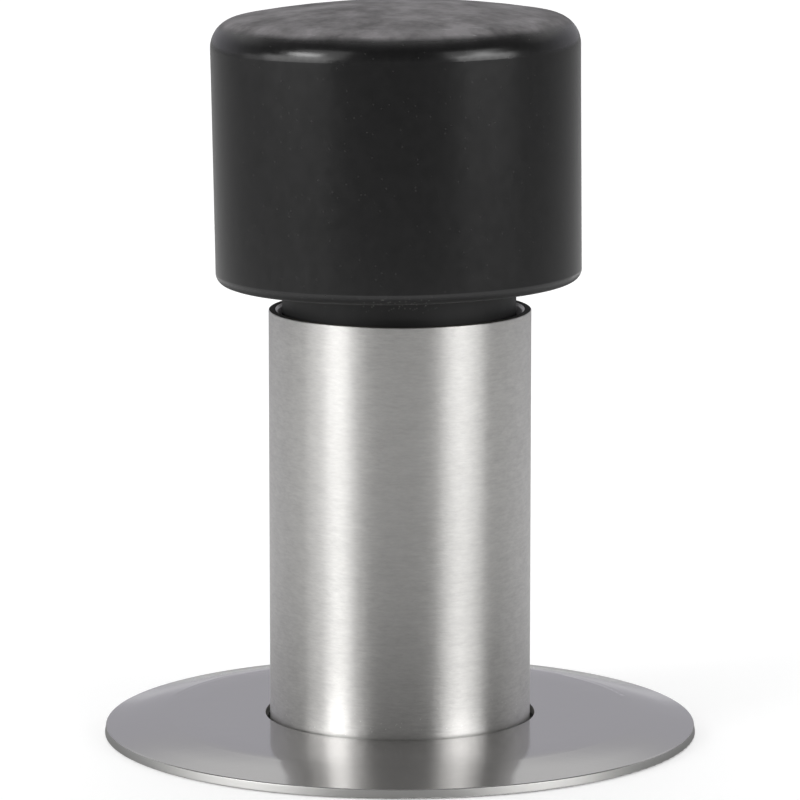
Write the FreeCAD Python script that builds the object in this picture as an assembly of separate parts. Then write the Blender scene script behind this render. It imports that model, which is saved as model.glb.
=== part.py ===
import FreeCAD, Part
import math
import os

# Floor door stop: a rubber buffer plugged into a stainless post, with a loose cover
# rosette round the foot. Millimetres, +Z up, origin on the floor in the post's axis.

# Post tube
post_d = 35.0                # outside diameter of the tube
post_wall = 1.2              # wall of the tube
post_h = 57.4                # height of the tube's rim above the floor
rim_chamfer = 0.3            # inner chamfer at the rim
rim_break = 0.15             # broken outer edge at the rim
foot_chamfer = 0.4           # outer chamfer at the foot

# Cover rosette, pressed from sheet
rosette_d = 79.5             # outside diameter
rosette_sheet = 1.25         # thickness of the sheet
rosette_border = 7.8         # width of the sloping border
rosette_rise = 1.4           # rise of the flat middle over the border's edge
rosette_gap = 0.6            # gap between the hole and the tube, all round
rosette_bend = 6.0           # outer radius of the bend between border and middle
rosette_edge = 0.2           # round on the outer corners of the cut edge
rosette_draft_deg = 9.0      # the cut edge leans in this much towards its top, as the punch left it
hole_edge = 0.15             # round on the corners of the hole

# Rubber head, neck and stem, moulded in one
head_d = 48.7                # diameter at the underside
head_flare = 0.4             # how much wider the drum is at its top
head_h = 37.0                # height of the drum, up to the middle of its crowned top
head_crown = 123.0           # radius of the crowned top
head_top_round = 3.9         # round at the top edge
head_foot_round = 1.4        # round at the bottom edge
head_lift = 3.85             # height of the drum's underside above the tube's rim
neck_gap = 0.7               # gap between the neck and the tube's bore
neck_fillet = 0.6            # fillet between neck and underside
neck_depth = 5.0             # how far the plain neck goes below the rim
stem_gap = 1.9               # gap between the stem and the bore, where it has no rib
rib_pitch = 5.2              # distance from one push-in rib to the next
rib_land = 1.4               # height of the rib's rim, which grips the bore
rib_slope = 2.0              # height of the rib's lead-in, under the rim
rib_squeeze = 0.5            # how much wider than the bore each rib is moulded, on the radius
stem_taper = 2.0             # chamfer at the stem's end
stem_seat = 0.05             # clearance between the stem's lowest edge and the foot plug
lean_deg = 0.8               # the head leans this much, top towards -X
lean_depth = 7.2             # the leaning axis crosses the post's axis this far below the rim

# Foot plug, pressed into the tube
thread_hole_d = 6.8          # tapping hole of an M8 thread
thread_depth = 16.0          # depth of the hole's full wall
thread_mouth = 0.8           # countersink at the hole's mouth
drill_point_deg = 118.0      # point angle left by the drill
plug_web = 7.0               # metal left above the hole's point
plug_chamfer = 1.0           # lead-in chamfer at its top

# Sizes that follow from those above
post_r = post_d / 2
bore_r = post_r - post_wall
rosette_r = rosette_d / 2
hole_r = post_r + rosette_gap
head_r = head_d / 2
neck_r = bore_r - neck_gap
stem_r = bore_r - stem_gap
rib_r = bore_r + rib_squeeze
axis_z = post_h - lean_depth
tap_r = thread_hole_d / 2
hole_point_z = thread_depth + tap_r / math.tan(math.radians(drill_point_deg / 2))
plug_h = hole_point_z + plug_web
up = FreeCAD.Vector(0, 0, 1)
origin = FreeCAD.Vector(0, 0, 0)


def unit(a, b):
    """Unit vector from point a to point b, both (r, z)."""
    length = math.hypot(b[0] - a[0], b[1] - a[1])
    return (b[0] - a[0]) / length, (b[1] - a[1]) / length


def revolve(corners):
    """Turn a closed half-section about Z. Each corner is (r, z) or (r, z, rounding radius)."""
    def at(p):
        return FreeCAD.Vector(p[0], 0, p[1])

    edges = []
    stretches = []
    for i, corner in enumerate(corners):
        before = corners[i - 1]
        after = corners[(i + 1) % len(corners)]
        radius = corner[2] if len(corner) > 2 else 0
        if radius == 0:
            stretches.append((corner, None, corner))
            continue
        back = unit(corner, before)
        ahead = unit(corner, after)
        half = math.acos(back[0] * ahead[0] + back[1] * ahead[1]) / 2
        reach = radius / math.tan(half)
        start = (corner[0] + back[0] * reach, corner[1] + back[1] * reach)
        end = (corner[0] + ahead[0] * reach, corner[1] + ahead[1] * reach)
        middle = unit((0, 0), (back[0] + ahead[0], back[1] + ahead[1]))
        dip = radius / math.sin(half) - radius
        stretches.append((start, (corner[0] + middle[0] * dip, corner[1] + middle[1] * dip), end))
    for i, (start, mid, end) in enumerate(stretches):
        if mid is not None:
            edges.append(Part.Arc(at(start), at(mid), at(end)).toShape())
        edges.append(Part.LineSegment(at(end), at(stretches[(i + 1) % len(stretches)][0])).toShape())
    return Part.Face(Part.Wire(edges)).revolve(origin, up, 360)


def lean(shape):
    """Tilt a shape about the point where the head's axis crosses the post's axis."""
    shape.rotate(FreeCAD.Vector(0, 0, axis_z), FreeCAD.Vector(0, 1, 0), -lean_deg)
    return shape


def make_post_tube():
    return revolve([
        (bore_r, 0),
        (post_r - foot_chamfer, 0),
        (post_r, foot_chamfer),
        (post_r, post_h, rim_break),
        (bore_r + rim_chamfer, post_h),
        (bore_r, post_h - rim_chamfer),
    ])


def make_floor_rosette():
    # The sheet has one thickness all over; its cut edge leans in towards the top.
    slope = math.atan2(rosette_rise, rosette_border)
    draft = math.radians(rosette_draft_deg)
    fall = math.tan(slope)
    # The rounded corner touches the floor and is the widest place, so the sharp corner that
    # it is made from would lie a little below the floor and a little further out.
    corner = 1 - 1 / math.cos(slope) - fall * (math.tan(draft) + 1 / math.cos(draft))
    foot_z = rosette_edge * corner / (1 - fall * math.tan(draft))
    foot_r = (rosette_r + (rosette_edge - foot_z) * math.tan(draft)
              + rosette_edge * (1 / math.cos(draft) - 1))
    edge_z = foot_z + (foot_r - rosette_r) * fall + rosette_sheet / math.cos(slope)
    top_z = edge_z + rosette_rise
    under_z = top_z - rosette_sheet
    bend_r = rosette_r - rosette_border
    under_bend_r = foot_r - (under_z - foot_z) / fall
    # The top corner, where the cut edge meets the sloping border
    lip_r = foot_r - (edge_z - foot_z + rosette_r * fall) * math.tan(draft)
    lip_r = lip_r / (1 - fall * math.tan(draft))
    lip_z = edge_z + (rosette_r - lip_r) * fall
    return revolve([
        (hole_r, under_z, hole_edge),
        (under_bend_r, under_z, rosette_bend - rosette_sheet),
        (foot_r, foot_z, rosette_edge),
        (lip_r, lip_z, rosette_edge),
        (bend_r, top_z, rosette_bend),
        (hole_r, top_z, hole_edge),
    ])


def stem_end_z():
    """Lowest height of the stem in its own upright frame, so that it just clears the plug."""
    tilt = math.radians(lean_deg)
    end_r = stem_r - stem_taper
    drop = axis_z - plug_h - stem_seat
    return axis_z - (drop - end_r * math.sin(tilt)) / math.cos(tilt)


def make_rubber_head():
    under_z = post_h + head_lift
    top_z = under_z + head_h
    blank_z = top_z + head_top_round
    neck_end_z = post_h - neck_depth
    end_z = stem_end_z()
    outline = [
        (0, end_z),
        (stem_r - stem_taper, end_z),
        (stem_r, end_z + stem_taper),
        (stem_r, neck_end_z),
        (neck_r, neck_end_z),
        (neck_r, under_z, neck_fillet),
        (head_r, under_z, head_foot_round),
        (head_r + head_flare / 2, blank_z),
        (0, blank_z),
    ]
    # The drum is turned too high, cut off by the sphere of the crown, then rounded at the edge.
    crown = Part.makeSphere(head_crown, FreeCAD.Vector(0, 0, top_z - head_crown))
    body = revolve(outline).common(crown)
    rings = [e for e in body.Edges if e.BoundBox.XLength > 0.9 * head_d]
    top_edge = max(rings, key=lambda e: e.BoundBox.ZMin)
    body = body.makeFillet(head_top_round, [top_edge])
    ribs = []
    rib_count = int((neck_end_z - end_z - stem_taper) / rib_pitch)
    for k in range(rib_count):
        rim_z = neck_end_z - rib_land - k * rib_pitch
        ribs.append(revolve([
            (0, rim_z - rib_slope),
            (stem_r, rim_z - rib_slope),
            (rib_r, rim_z),
            (rib_r, rim_z + rib_land),
            (0, rim_z + rib_land),
        ]))
    head = lean(body.multiFuse(ribs).removeSplitter())
    # The bore squeezes the ribs to its own radius: cut away what would lie in the tube's wall.
    bore = Part.makeCylinder(bore_r, post_h)
    wall = Part.makeCylinder(post_r + rib_squeeze, post_h).cut(bore)
    return head.cut(wall)


def make_foot_plug():
    return revolve([
        (0, hole_point_z),
        (tap_r, thread_depth),
        (tap_r, thread_mouth),
        (tap_r + thread_mouth, 0),
        (bore_r, 0),
        (bore_r, plug_h - plug_chamfer),
        (bore_r - plug_chamfer, plug_h),
        (0, plug_h),
    ])


nodes = {
    "post_tube": make_post_tube(),
    "floor_rosette": make_floor_rosette(),
    "rubber_head": make_rubber_head(),
    "foot_plug": make_foot_plug(),
}

os.makedirs("parts", exist_ok=True)
for name, shape in nodes.items():
    print(name, "solids", len(shape.Solids), "valid", shape.isValid(), "mm3", round(shape.Volume, 1))
    shape.exportStep("parts/" + name + ".step")
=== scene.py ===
import bpy
import bmesh
import math
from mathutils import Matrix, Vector

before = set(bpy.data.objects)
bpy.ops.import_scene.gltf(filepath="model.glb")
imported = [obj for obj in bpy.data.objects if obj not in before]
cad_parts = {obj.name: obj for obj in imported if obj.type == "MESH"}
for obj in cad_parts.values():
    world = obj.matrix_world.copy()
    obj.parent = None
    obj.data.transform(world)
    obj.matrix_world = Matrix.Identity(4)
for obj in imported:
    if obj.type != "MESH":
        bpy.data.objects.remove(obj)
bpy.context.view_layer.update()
scene = bpy.context.scene
print("frame loaded:", ", ".join(sorted(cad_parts)))

# Camera: a long lens, a little above the head, at the photograph's angle
viewpoint = {
    "back": 0.684306,  # metres in front of the post's axis
    "height": 0.158775,
    "pitchDeg": 9.437,  # looking down
    "lens": 233.76,
    "sensor": 36.0,
    "clip": (0.01, 100),
}

cameraData = bpy.data.cameras.new("camera")
cameraData.lens = viewpoint["lens"]
cameraData.sensor_width = viewpoint["sensor"]
cameraData.clip_start, cameraData.clip_end = viewpoint["clip"]
camera = bpy.data.objects.new("camera", cameraData)
camera.location = (0, -viewpoint["back"], viewpoint["height"])
camera.rotation_euler = (math.radians(90 - viewpoint["pitchDeg"]), 0, 0)
scene.collection.objects.link(camera)
scene.camera = camera
scene.view_settings.view_transform = "Standard"
print("camera placed")

# A noise texture keeps mostly between these values
noiseBand = (0.3, 0.7)


def addNode(tree, kind, inputs=None, **settings):
    node = tree.nodes.new(kind)
    for name, value in settings.items():
        setattr(node, name, value)
    for name, value in (inputs or {}).items():
        if isinstance(value, bpy.types.NodeSocket):
            tree.links.new(value, node.inputs[name])
        else:
            node.inputs[name].default_value = value
    return node


def newMaterial(name, **values):
    material = bpy.data.materials.new(name)
    material.use_nodes = True
    shader = material.node_tree.nodes["Principled BSDF"]
    for socket, value in values.items():
        shader.inputs[socket.replace("_", " ")].default_value = value
    return material, material.node_tree, shader


def dress(nodeName, material):
    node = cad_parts[nodeName]
    node.data.materials.clear()
    node.data.materials.append(material)


def objectPlace(tree, stretch=(1, 1, 1), turn=(0, 0, 0)):
    place = addNode(tree, "ShaderNodeTexCoord").outputs["Object"]
    return addNode(tree, "ShaderNodeMapping", {
        "Vector": place, "Scale": stretch, "Rotation": turn}).outputs["Vector"]


def axisOf(tree, vector, axis):
    return addNode(tree, "ShaderNodeSeparateXYZ", {"Vector": vector}).outputs[axis]


def facingUp(tree):
    # How far the surface faces up: 1 on a level face, 0 on an upright one
    return axisOf(tree, addNode(tree, "ShaderNodeTexCoord").outputs["Normal"], "Z")


def lengthOf(tree, vector):
    return addNode(tree, "ShaderNodeVectorMath", {"Vector": vector},
                   operation="LENGTH").outputs["Value"]


def fromPostAxis(tree):
    return lengthOf(tree, objectPlace(tree, stretch=(1, 1, 0)))


def noiseOn(tree, stretch, detail=3.0, roughness=0.5, turn=(0, 0, 0)):
    return addNode(tree, "ShaderNodeTexNoise", {
        "Vector": objectPlace(tree, stretch, turn), "Scale": 1.0, "Detail": detail,
        "Roughness": roughness}).outputs["Fac"]


def spread(tree, value, limits, toLow=0, toHigh=1):
    # Maps the first limit to toLow and the second to toHigh, and stays inside those
    return addNode(tree, "ShaderNodeMapRange", {
        "Value": value, "From Min": limits[0], "From Max": limits[1],
        "To Min": toLow, "To Max": toHigh}).outputs["Result"]


def maths(tree, operation, first, second=0.0):
    return addNode(tree, "ShaderNodeMath", {0: first, 1: second}, operation=operation).outputs[0]


def both(tree, first, second):
    return maths(tree, "MULTIPLY", first, second)


def weigh(tree, first, second, share):
    # A mixture of two values, of which share is the first
    return maths(tree, "ADD", maths(tree, "MULTIPLY", first, share),
                 maths(tree, "MULTIPLY", second, 1 - share))


def blendColour(tree, factor, first, second):
    mix = addNode(tree, "ShaderNodeMix", data_type="RGBA")
    for index, value in ((0, factor), (6, first), (7, second)):
        if isinstance(value, bpy.types.NodeSocket):
            tree.links.new(value, mix.inputs[index])
        else:
            mix.inputs[index].default_value = value
    return mix.outputs[2]


def greyRamp(tree, value, stops):
    ramp = addNode(tree, "ShaderNodeValToRGB", {"Fac": value})
    elements = ramp.color_ramp.elements
    for index, (position, grey) in enumerate(stops):
        stop = elements[index] if index < len(elements) else elements.new(position)
        stop.position = position
        stop.color = (grey, grey, grey, 1)
    return ramp.outputs["Color"]


def bumpOn(tree, height, distance, under=None):
    # A bump of the given depth in metres, on top of another one where under is given
    inputs = {"Height": height, "Distance": distance, "Strength": 1.0}
    if under is not None:
        inputs["Normal"] = under
    return addNode(tree, "ShaderNodeBump", inputs).outputs["Normal"]


def specksOn(tree, specks):
    # Small dots, one in some of the cells of a cell pattern
    cells, size, share = specks
    cell = addNode(tree, "ShaderNodeTexVoronoi", {
        "Vector": objectPlace(tree), "Scale": cells})
    dot = spread(tree, cell.outputs["Distance"], (size * cells, size * cells * 0.5))
    pick = axisOf(tree, cell.outputs["Color"], "X")
    return both(tree, dot, maths(tree, "LESS_THAN", pick, share))


# Post tube: stainless steel brushed round and round
tubeFinish = {
    "dark": (0.612, 0.604, 0.590, 1),
    "light": (0.765, 0.757, 0.738, 1),
    "toneLimits": (0.37, 0.63),  # of the marks' noise, from dark to light
    "roughness": 0.43,
    "roughnessSpread": 0.04,
    "anisotropy": 0.91,
    "anisotropicTurn": 0.25,
    "streak": (800, 800, 2900),  # short brush marks, a millimetre long and a quarter high
    "drag": (190, 190, 2600),  # longer lines where the belt ran on
    "streakShare": 0.75,
    "haze": (420, 420, 800),  # faint clouds in the finish, a few millimetres across
    "lineShare": 0.74,  # of streak and drag in the tone, the rest is haze
    "fret": (1100, 1100, 3600),  # the marks' ragged ends
    "lineHeight": 0.000008,
    "fretHeight": 0.000020,
    "rimShadeColour": (0.062, 0.060, 0.052, 1),  # the sawn end is dull, and painted near-black as shade under the head
    "rimRoughness": 0.95,
    "rimFacing": (0.85, 0.95),  # how far up the sawn end faces
    "lipColour": (0.80, 0.79, 0.77, 1),  # its inner chamfer is bare and bright
    "lipFacing": (0.3, 0.5),
    "lipRadius": 0.0169,  # the chamfer lies inside this radius
    "dirt": (0.93, 0.93, 0.90, 1),  # a few pale specks just above the rosette
    "dirtSpecks": (1500, 0.00012, 0.5),  # cells per metre, radius, share of the cells
    "dirtUpTo": 0.009,
}

material, tree, shader = newMaterial("brushedTube", Metallic=1.0)
streak = noiseOn(tree, tubeFinish["streak"], detail=5.0, roughness=0.7)
drag = noiseOn(tree, tubeFinish["drag"], detail=3.0, roughness=0.6)
fret = noiseOn(tree, tubeFinish["fret"], detail=2.0)
haze = noiseOn(tree, tubeFinish["haze"], detail=4.0, roughness=0.6)
lines = weigh(tree, streak, drag, tubeFinish["streakShare"])
tone = spread(tree, weigh(tree, lines, haze, tubeFinish["lineShare"]), tubeFinish["toneLimits"])
tone = blendColour(tree, tone, tubeFinish["dark"], tubeFinish["light"])
low = spread(tree, axisOf(tree, objectPlace(tree), "Z"),
             (tubeFinish["dirtUpTo"], tubeFinish["dirtUpTo"] / 2))
dirt = both(tree, specksOn(tree, tubeFinish["dirtSpecks"]), low)
tone = blendColour(tree, dirt, tone, tubeFinish["dirt"])
facing = facingUp(tree)
rim = spread(tree, facing, tubeFinish["rimFacing"])
lip = both(tree, spread(tree, facing, tubeFinish["lipFacing"]),
           spread(tree, facing, tubeFinish["rimFacing"], 1, 0))
inner = maths(tree, "LESS_THAN", fromPostAxis(tree), tubeFinish["lipRadius"])
# The sawn end gets a near-black colour: painted shade under the rubber head, on top of its real
# dullness
tone = blendColour(tree, rim, tone, tubeFinish["rimShadeColour"])
tone = blendColour(tree, both(tree, lip, inner), tone, tubeFinish["lipColour"])
tree.links.new(tone, shader.inputs["Base Color"])
even = spread(tree, lines, noiseBand, tubeFinish["roughness"] - tubeFinish["roughnessSpread"],
              tubeFinish["roughness"] + tubeFinish["roughnessSpread"])
dull = maths(tree, "MULTIPLY", rim, tubeFinish["rimRoughness"] - tubeFinish["roughness"])
tree.links.new(maths(tree, "ADD", even, dull), shader.inputs["Roughness"])
shader.inputs["Anisotropic"].default_value = tubeFinish["anisotropy"]
shader.inputs["Anisotropic Rotation"].default_value = tubeFinish["anisotropicTurn"]
around = addNode(tree, "ShaderNodeTangent", direction_type="RADIAL", axis="Z")
tree.links.new(around.outputs["Tangent"], shader.inputs["Tangent"])
grain = bumpOn(tree, lines, tubeFinish["lineHeight"])
tree.links.new(bumpOn(tree, fret, tubeFinish["fretHeight"], grain), shader.inputs["Normal"])
dress("post_tube", material)
print("post tube brushed")

# Cover rosette: smooth satin sheet with a straight grain, its cut edge lighter and rougher
rosetteFinish = {
    "dark": (0.590, 0.582, 0.581, 1),
    "light": (0.622, 0.614, 0.613, 1),
    "cutEdge": (0.70, 0.695, 0.68, 1),
    "edgeFacing": (0.6, 0.3),  # a surface that faces up less than this is cut edge
    "roughness": 0.125,
    "edgeRoughness": 0.46,
    "line": (60, 5200, 0),  # straight grain along X
    "lineHeight": 0.0000015,
    "bendRadius": 0.03195,  # the pressed bend between middle and border has no sharp line
    "bendRound": 0.0006,
    "bendSpread": 0.0048,
    "bendDepth": 0.00019,
}

material, tree, shader = newMaterial("satinRosette", Metallic=1.0)
lines = noiseOn(tree, rosetteFinish["line"], detail=4.0, roughness=0.6)
tone = blendColour(tree, spread(tree, lines, noiseBand), rosetteFinish["dark"],
                   rosetteFinish["light"])
edge = spread(tree, maths(tree, "ABSOLUTE", facingUp(tree)), rosetteFinish["edgeFacing"])
tree.links.new(blendColour(tree, edge, tone, rosetteFinish["cutEdge"]),
               shader.inputs["Base Color"])
tree.links.new(
    spread(tree, edge, (0, 1), rosetteFinish["roughness"], rosetteFinish["edgeRoughness"]),
    shader.inputs["Roughness"])
offBend = maths(tree, "SUBTRACT", fromPostAxis(tree), rosetteFinish["bendRadius"])
offBend = maths(tree, "ADD", maths(tree, "POWER", offBend, 2.0), rosetteFinish["bendRound"] ** 2)
valley = spread(tree, maths(tree, "SQRT", offBend), (0.0, rosetteFinish["bendSpread"]), 1, 0)
dip = maths(tree, "MULTIPLY", maths(tree, "POWER", valley, 2.0), -1.0)
grain = bumpOn(tree, lines, rosetteFinish["lineHeight"])
tree.links.new(bumpOn(tree, dip, rosetteFinish["bendDepth"], grain), shader.inputs["Normal"])
dress("floor_rosette", material)
print("rosette finished")

# Rubber head: black moulded rubber, smooth round the side, with a matt grey bloom on top
rubberFinish = {
    "dark": (0.0028, 0.0028, 0.0029, 1),
    "light": (0.0052, 0.0050, 0.0052, 1),
    "mottle": (700, 700, 500),
    "mottleLimits": (0.35, 0.65),
    # the neck's colour below is painted shade, near black under the drum
    "neck": (0.0010, 0.0010, 0.0010, 1),
    "ior": 1.55,
    "roughness": 0.205,
    "roughnessSpread": 0.02,
    "bloomRoughness": 0.70,
    "footRoughness": 0.60,
    "neckRoughness": 0.62,
    "leanDeg": 0.8,  # the drum leans this much, top towards -X
    "bloomDark": (0.082, 0.078, 0.080, 1),
    "bloomLight": (0.205, 0.196, 0.202, 1),
    "bloomBand": (0.094024, 0.095824),  # heights along the leaning axis, from clean to bloomed
    "bloomWaver": 0.00006,  # its ragged border
    "bloomFade": [(0.0, 0.0), (0.45, 0.05), (0.68, 0.16), (0.82, 0.5), (1.0, 1.0)],
    "cloud": (190, 170, 170),
    "wipe": (700, 1300, 1300),
    "wipeTurn": 0.35,
    "cloudShare": 0.75,  # of the bloom's pattern, the rest is wipe
    "smearLimits": (0.38, 0.62),
    "rub": (170, 3000, 3000),  # fine pale scratches in the bloom
    "rubTurn": 0.5,
    "rubLimits": (0.66, 0.72),
    "rubWhere": (0.5, 0.6),  # only where the clouds are light
    "scratch": (0.30, 0.29, 0.30, 1),
    "footFrom": 0.0610,  # the moulded edge at the bottom is duller, up to the next height
    "footUpTo": 0.0621,
    "footBlur": 0.0003,
    "speck": (0.032, 0.032, 0.031, 1),  # fine dust
    "specks": (1100, 0.00012, 0.6),  # cells per metre, radius, share of the cells
    "footSpeck": (0.075, 0.075, 0.07, 1),  # more of it below the middle of the front
    "footSpecks": (2300, 0.00014, 0.9),
    "footSpeckReach": 0.0065,
    "footSpeckRise": (0.0592, 0.0600),
    "footSpeckEnd": (0.0625, 0.0620),
}

material, tree, shader = newMaterial("bufferRubber", Metallic=0.0)
lean = (0, math.radians(rubberFinish["leanDeg"]), 0)
along = axisOf(tree, objectPlace(tree, turn=lean), "Z")
mottle = noiseOn(tree, rubberFinish["mottle"], detail=5.0, roughness=0.6)
cloud = noiseOn(tree, rubberFinish["cloud"], detail=6.0, roughness=0.62,
                turn=(0, 0, rubberFinish["rubTurn"]))
wipe = noiseOn(tree, rubberFinish["wipe"], detail=4.0, roughness=0.6,
               turn=(0, 0, rubberFinish["wipeTurn"]))
rub = noiseOn(tree, rubberFinish["rub"], turn=(0, 0, rubberFinish["rubTurn"]))

# The side, its neck in painted shade, and its dust
side = blendColour(tree, spread(tree, mottle, rubberFinish["mottleLimits"]),
                   rubberFinish["dark"], rubberFinish["light"])
neck = maths(tree, "LESS_THAN", along, rubberFinish["footFrom"])
# The neck under the drum is painted darker than the side: painted shade
side = blendColour(tree, neck, side, rubberFinish["neck"])
side = blendColour(tree, specksOn(tree, rubberFinish["specks"]), side, rubberFinish["speck"])
across = maths(tree, "ABSOLUTE", axisOf(tree, objectPlace(tree), "X"))
dusty = spread(tree, across, (rubberFinish["footSpeckReach"], rubberFinish["footSpeckReach"] / 2))
dusty = both(tree, dusty, both(tree, spread(tree, along, rubberFinish["footSpeckEnd"]),
                               spread(tree, along, rubberFinish["footSpeckRise"])))
dusty = both(tree, dusty, specksOn(tree, rubberFinish["footSpecks"]))
side = blendColour(tree, dusty, side, rubberFinish["footSpeck"])

# The bloom on top and its scratches
ragged = maths(tree, "ADD", along, spread(
    tree, cloud, noiseBand, -rubberFinish["bloomWaver"], rubberFinish["bloomWaver"]))
bloom = greyRamp(tree, spread(tree, ragged, rubberFinish["bloomBand"]), rubberFinish["bloomFade"])
smear = weigh(tree, cloud, wipe, rubberFinish["cloudShare"])
top = blendColour(tree, spread(tree, smear, rubberFinish["smearLimits"]),
                  rubberFinish["bloomDark"], rubberFinish["bloomLight"])
scratch = both(tree, spread(tree, rub, rubberFinish["rubLimits"]),
               spread(tree, cloud, rubberFinish["rubWhere"]))
top = blendColour(tree, scratch, top, rubberFinish["scratch"])
tree.links.new(blendColour(tree, bloom, side, top), shader.inputs["Base Color"])

# Smooth on the side, matt on the bloom, the bottom edge and the neck
foot = both(tree, maths(tree, "GREATER_THAN", along, rubberFinish["footFrom"]),
            spread(tree, along, (rubberFinish["footUpTo"] + rubberFinish["footBlur"],
                                 rubberFinish["footUpTo"] - rubberFinish["footBlur"])))
gloss = spread(tree, mottle, noiseBand, rubberFinish["roughness"] - rubberFinish["roughnessSpread"],
               rubberFinish["roughness"] + rubberFinish["roughnessSpread"])
for where, finish in ((bloom, "bloomRoughness"), (foot, "footRoughness"), (neck, "neckRoughness")):
    more = maths(tree, "MULTIPLY", where, rubberFinish[finish] - rubberFinish["roughness"])
    gloss = maths(tree, "ADD", gloss, more)
tree.links.new(gloss, shader.inputs["Roughness"])
shader.inputs["IOR"].default_value = rubberFinish["ior"]
dress("rubber_head", material)
print("rubber head finished")

# Foot plug: bright turned steel, with the fine rings that the tool left
plugFinish = {
    "dark": (0.40, 0.40, 0.40, 1),
    "light": (0.58, 0.58, 0.575, 1),
    "toneLimits": (0.35, 0.65),
    "roughness": 0.30,
    "roughnessSpread": 0.06,
    "ring": 5200,  # rings per metre of radius and of height
    "ringHeight": 0.000006,
    "ringShare": 0.6,  # of the tone, the rest is stain
    "stain": (260, 260, 260),  # light oil stains
    "thread": (0.16, 0.16, 0.16, 1),  # the tapped hole gets darker from its mouth inwards
    "threadRadius": (0.0043, 0.0042),
    "threadRise": (0.0002, 0.0009),  # heights above the floor, from bright to dark
}

material, tree, shader = newMaterial("turnedPlug", Metallic=1.0)
fromAxis = fromPostAxis(tree)
height = axisOf(tree, objectPlace(tree), "Z")
profile = addNode(tree, "ShaderNodeCombineXYZ", {"X": fromAxis, "Y": height}).outputs["Vector"]
rings = addNode(tree, "ShaderNodeTexNoise", {
    "Vector": profile, "Scale": plugFinish["ring"], "Detail": 3.0,
    "Roughness": 0.6}).outputs["Fac"]
stain = noiseOn(tree, plugFinish["stain"], detail=4.0, roughness=0.6)
tone = spread(tree, weigh(tree, rings, stain, plugFinish["ringShare"]), plugFinish["toneLimits"])
tone = blendColour(tree, tone, plugFinish["dark"], plugFinish["light"])
inside = both(tree, spread(tree, fromAxis, plugFinish["threadRadius"]),
              spread(tree, height, plugFinish["threadRise"]))
tree.links.new(blendColour(tree, inside, tone, plugFinish["thread"]), shader.inputs["Base Color"])
even = spread(tree, rings, noiseBand, plugFinish["roughness"] - plugFinish["roughnessSpread"],
              plugFinish["roughness"] + plugFinish["roughnessSpread"])
tree.links.new(even, shader.inputs["Roughness"])
tree.links.new(bumpOn(tree, rings, plugFinish["ringHeight"]), shader.inputs["Normal"])
dress("foot_plug", material)
print("foot plug finished")

# Studio floor: white, glowing a little where the camera or a reflection sees it
studioFloor = {
    "radius": 8.0,
    "sides": 64,
    "drop": 0.00003,
    "colour": (0.82, 0.82, 0.82, 1),
    "glow": 0.30,
    "farGlow": 0.62,
    "glowReach": (0.1, 1.2),  # distance out, from glow to farGlow
    "covered": (0.034, 0.039),  # no glow under the rosette
}

mesh = bpy.data.meshes.new("studioFloor")
bm = bmesh.new()
bmesh.ops.create_circle(bm, cap_ends=True, segments=studioFloor["sides"],
                        radius=studioFloor["radius"])
bmesh.ops.translate(bm, verts=bm.verts, vec=(0, 0, -studioFloor["drop"]))
bm.to_mesh(mesh)
bm.free()
floor = bpy.data.objects.new("studioFloor", mesh)
scene.collection.objects.link(floor)
material, tree, shader = newMaterial("studioFloor", Roughness=1.0, Specular_IOR_Level=0.0)
shader.inputs["Base Color"].default_value = studioFloor["colour"]
shader.inputs["Emission Color"].default_value = (1, 1, 1, 1)
seen = addNode(tree, "ShaderNodeLightPath").outputs
shows = maths(tree, "MAXIMUM", seen["Is Camera Ray"], seen["Is Glossy Ray"])
shows = maths(tree, "MAXIMUM", shows, seen["Is Transmission Ray"])
reach = lengthOf(tree, objectPlace(tree))
glow = spread(tree, reach, studioFloor["glowReach"], studioFloor["glow"], studioFloor["farGlow"])
glow = both(tree, both(tree, shows, glow), spread(tree, reach, studioFloor["covered"]))
tree.links.new(glow, shader.inputs["Emission Strength"])
floor.data.materials.append(material)

# A grey sheet lies round the object, where only reflections meet it: painted shade of the floor,
# which the camera sees white
reflectedShade = {
    "inner": 0.03985,
    "outer": 7.5,
    "lift": 0.00002,
    "steps": 96,
    # Painted shade on the sheet: darkest right at the object's foot, and darker again from about a
    # third of a metre out in front
    "front": [(0.043, 0.05), (0.064, 0.55), (0.10, 1.0), (0.26, 1.0), (0.36, 0.33)],
    "back": [(0.045, 0.44), (0.12, 0.76), (0.32, 0.74), (0.42, 0.50)],  # both: distance out, grey
    "turn": (-0.62, 0.9),  # from front to back, as Y over the distance
    "far": (1.0, 2.4),  # it gets pale between these distances
    "farGrey": (1.0, 1.0, 1.0, 1),
}

mesh = bpy.data.meshes.new("reflectedFloorShade")
bm = bmesh.new()
near = bm.verts.new((reflectedShade["inner"], 0, reflectedShade["lift"]))
far = bm.verts.new((reflectedShade["outer"], 0, reflectedShade["lift"]))
fold = bm.edges.new((near, far))
bmesh.ops.spin(bm, geom=[near, far, fold], cent=(0, 0, 0), axis=(0, 0, 1), angle=2 * math.pi,
               steps=reflectedShade["steps"], use_merge=True, use_duplicate=False)
bmesh.ops.recalc_face_normals(bm, faces=bm.faces)
bm.to_mesh(mesh)
bm.free()
reflectedShadeObject = bpy.data.objects.new("reflectedFloorShade", mesh)
scene.collection.objects.link(reflectedShadeObject)
reflectedShadeObject.visible_camera = False
reflectedShadeObject.visible_shadow = False
reflectedShadeObject.visible_diffuse = False
material, tree, shader = newMaterial("reflectedFloorShade", Roughness=1.0, Specular_IOR_Level=0.0)
reach = lengthOf(tree, objectPlace(tree))
behind = maths(tree, "DIVIDE", axisOf(tree, objectPlace(tree), "Y"), reach)
grey = blendColour(tree, spread(tree, behind, reflectedShade["turn"]),
                   greyRamp(tree, reach, reflectedShade["front"]), greyRamp(tree, reach, reflectedShade["back"]))
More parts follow.
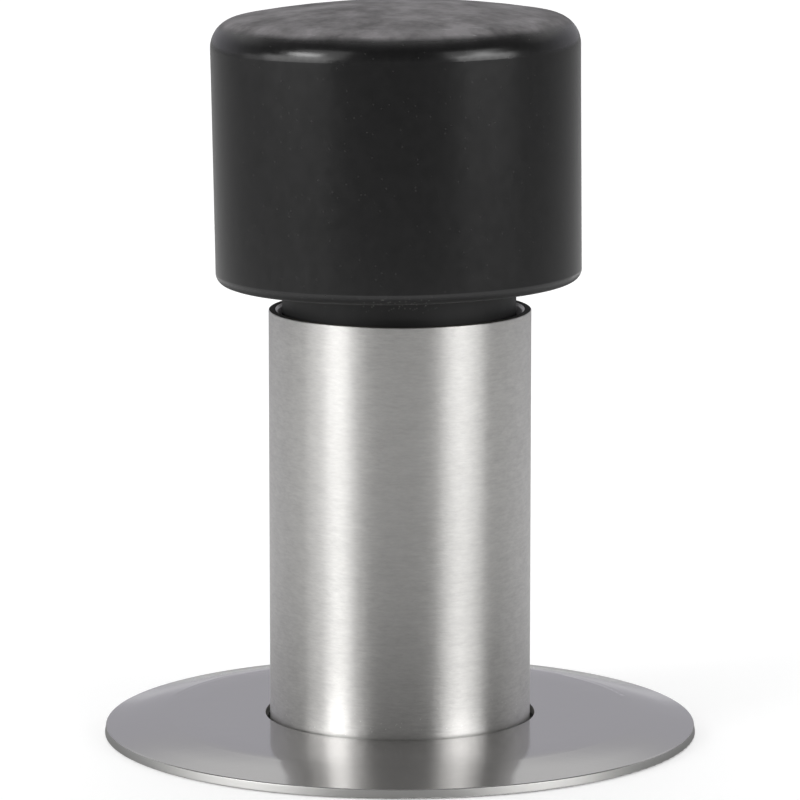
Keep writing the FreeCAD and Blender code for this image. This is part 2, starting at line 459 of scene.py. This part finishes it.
grey = blendColour(tree, spread(tree, reach, reflectedShade["far"]), grey, reflectedShade["farGrey"])
tree.links.new(grey, shader.inputs["Base Color"])
reflectedShadeObject.data.materials.append(material)

# Grey surroundings, darker in front of the object than behind it
surroundings = {
    "front": [(0.0, 0.36), (0.10, 0.21), (0.35, 0.16), (0.8, 0.12), (0.94, 0.38)],
    "back": [(0.0, 0.44), (0.2, 0.44), (0.36, 0.46), (0.47, 0.68), (0.56, 0.68), (0.64, 0.44),
             (0.76, 0.14), (0.94, 0.38)],  # both: sine of the height above the floor, grey
    "frontTint": (1.0, 1.0, 1.0, 1),
    "backTint": (0.984, 0.974, 1.042, 1),
    "turn": (0.1, 0.6),  # from front to back, as Y of the direction
    "tintEnds": (0.44, 0.30),  # the back is tinted only below these heights
}

world = bpy.data.worlds.new("surroundings")
world.use_nodes = True
scene.world = world
tree = world.node_tree
direction = addNode(tree, "ShaderNodeTexCoord").outputs["Generated"]
axes = addNode(tree, "ShaderNodeSeparateXYZ", {"Vector": direction}).outputs
towardsBack = spread(tree, axes["Y"], surroundings["turn"])
level = blendColour(tree, towardsBack, greyRamp(tree, axes["Z"], surroundings["front"]),
                    greyRamp(tree, axes["Z"], surroundings["back"]))
cool = both(tree, towardsBack, spread(tree, axes["Z"], surroundings["tintEnds"]))
tint = blendColour(tree, cool, surroundings["frontTint"], surroundings["backTint"])
tree.links.new(tint, tree.nodes["Background"].inputs["Color"])
tree.links.new(level, tree.nodes["Background"].inputs["Strength"])

# Softboxes on both sides, a weak one behind and a large one above, all aimed at the post.
# Azimuth counts from the camera's side to the right, sizes and distances are in metres.
aim = Vector((0, 0, 0.05))
softboxes = {
    "left": {"azimuth": -64.5, "elevation": 7, "distance": 1.1, "width": 0.94, "height": 0.29,
             "radiance": 2.25},
    "leftSide": {"azimuth": -97, "elevation": 3, "distance": 1.1, "width": 0.34, "height": 0.20,
                 "radiance": 0.5},
    "leftGlow": {"azimuth": -49, "elevation": 23, "distance": 1.05, "width": 0.60, "height": 0.58,
                 "radiance": 1.15},
    "leftCore": {"azimuth": -59, "elevation": 21, "distance": 1.0, "width": 0.36, "height": 0.16,
                 "radiance": 8.1},
    "right": {"azimuth": 57.5, "elevation": 9, "distance": 1.1, "width": 0.78, "height": 0.30,
              "radiance": 2.9},
    "rightGlow": {"azimuth": 51, "elevation": 20, "distance": 1.05, "width": 0.68, "height": 0.44,
                  "radiance": 1.2},
    "rightCore": {"azimuth": 55, "elevation": 19.5, "distance": 1.0, "width": 0.20, "height": 0.18,
                  "radiance": 3.4},
    "behind": {"azimuth": 180, "elevation": 2, "distance": 1.6, "width": 0.6, "height": 0.10,
               "radiance": 0.2},
    "top": {"azimuth": 180, "elevation": 75, "distance": 1.2, "width": 1.2, "height": 1.3,
            "radiance": 2.0},
}

for name, box in softboxes.items():
    lamp = bpy.data.lights.new("softbox" + name.capitalize(), "AREA")
    lamp.shape = "RECTANGLE"
    lamp.size = box["width"]
    lamp.size_y = box["height"]
    lamp.energy = box["radiance"] * math.pi * box["width"] * box["height"]
    azimuth = math.radians(box["azimuth"])
    elevation = math.radians(box["elevation"])
    away = Vector((math.sin(azimuth) * math.cos(elevation),
                   -math.cos(azimuth) * math.cos(elevation), math.sin(elevation)))
    lampObject = bpy.data.objects.new(lamp.name, lamp)
    lampObject.location = aim + away * box["distance"]
    lampObject.rotation_euler = (-away).to_track_quat("-Z", "Y").to_euler()
    lampObject.visible_camera = False
    lampObject.visible_glossy = name != "top"  # the top one only fills, it doesn't gleam
    scene.collection.objects.link(lampObject)
print("studio lit")
